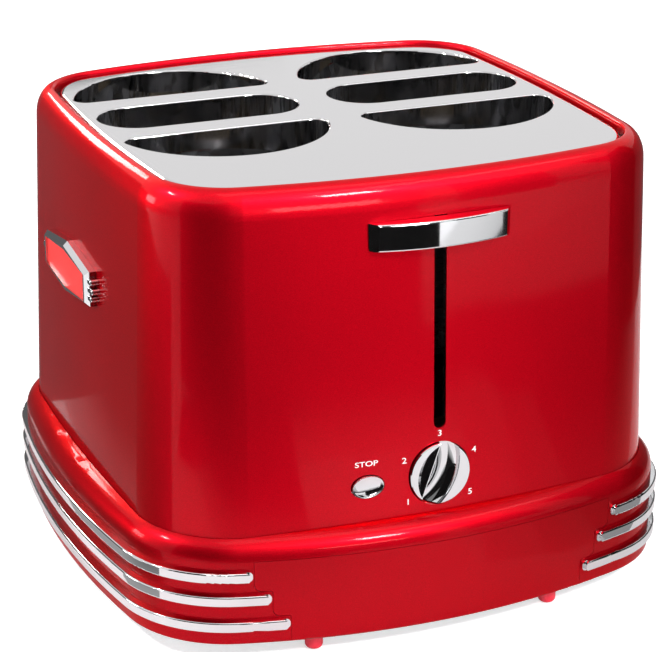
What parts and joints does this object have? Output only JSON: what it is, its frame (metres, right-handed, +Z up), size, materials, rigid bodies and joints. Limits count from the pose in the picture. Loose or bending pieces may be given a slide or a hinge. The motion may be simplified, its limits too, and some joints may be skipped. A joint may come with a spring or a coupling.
{
  "type": "hot dog toaster",
  "caption": "Retro countertop toaster for hot dogs and buns: bowed enamel housing, chrome slotted top, front lever and dial, stepped base with chrome bars.",
  "frame": {"origin": "middle of the footprint, on the surface that the feet stand on", "axes": "+X to the right as seen from the front, +Y towards the rear, +Z up"},
  "size_m": [0.3268, 0.317, 0.2475],
  "materials": {
    "red_enamel": "gloss",
    "red_moulding": "gloss",
    "chrome": "polished",
    "black_plastic": "matte",
    "steel": "brushed",
    "mica": "matte",
    "ribbon": "dull",
    "iron": "dull",
    "copper": "satin",
    "board": "satin",
    "red_plastic": "gloss",
    "rubber": "matte"
  },
  "bodies": {
    "toaster": {"base_front_panel": "red_moulding", "base_rear_panel": "red_moulding", "base_skirt": "red_moulding", "body_shell": "red_enamel", "bottom_plate": "steel", "bottom_screws": "steel", "control_board": "board", "cord_gland": "rubber", "feet": "red_plastic", "guide_rods": "steel", "left_badge_frame": "chrome", "left_badge_panel": "red_moulding", "left_chamber": "steel", "left_drip_deflector": "steel", "left_front_bun_collar": "chrome", "left_guard_wires": "steel", "left_heater_cards": "mica", "left_heater_rails": "steel", "left_heater_ribbons": "ribbon", "left_hot_dog_collar": "chrome", "left_lower_trim_bar": "chrome", "left_middle_trim_bar": "chrome", "left_rear_bun_collar": "chrome", "left_upper_trim_bar": "chrome", "magnet_coil": "copper", "magnet_core": "iron", "return_springs": "steel", "right_badge_frame": "chrome", "right_badge_panel": "red_moulding", "right_chamber": "steel", "right_drip_deflector": "steel", "right_front_bun_collar": "chrome", "right_guard_wires": "steel", "right_heater_cards": "mica", "right_heater_rails": "steel", "right_heater_ribbons": "ribbon", "right_hot_dog_collar": "chrome", "right_lower_trim_bar": "chrome", "right_middle_trim_bar": "chrome", "right_rear_bun_collar": "chrome", "right_upper_trim_bar": "chrome", "rod_bracket": "steel", "stop_switch": "black_plastic", "timer_body": "black_plastic", "top_frame": "black_plastic", "top_plate": "chrome", "tray_runners": "steel"},
    "lift": {"lever_arm": "steel", "lever_handle": "chrome", "lift_bracket": "steel", "latch_armature": "steel", "lift_spine": "steel", "left_racks": "steel", "right_racks": "steel"},
    "dial": {"dial_knob": "chrome", "timer_shaft": "steel"},
    "stop_key": {"stop_button": "chrome"},
    "tray": {"drip_tray": "steel", "tray_face": "red_moulding"}
  },
  "joints": [
    {"name": "lever_slide", "type": "slide", "parent": "toaster", "child": "lift", "axis": [0, -0.0321, -0.9995], "range_m": [0, 0.1], "stiffness_N_per_m": 100, "springref_m": -0.09, "deforming": ["return_springs"]},
    {"name": "dial_turn", "type": "hinge", "parent": "toaster", "child": "dial", "pos_m": [0, -0.1479, 0.089], "axis": [0, 1, 0], "range_deg": [-127, 127]},
    {"name": "stop_press", "type": "slide", "parent": "toaster", "child": "stop_key", "axis": [0, 1, 0], "range_m": [0, 0.0025], "stiffness_N_per_m": 500, "springref_m": -0.001},
    {"name": "tray_slide", "type": "slide", "parent": "toaster", "child": "tray", "axis": [0, 1, 0], "range_m": [0, 0.16]}
  ]
}
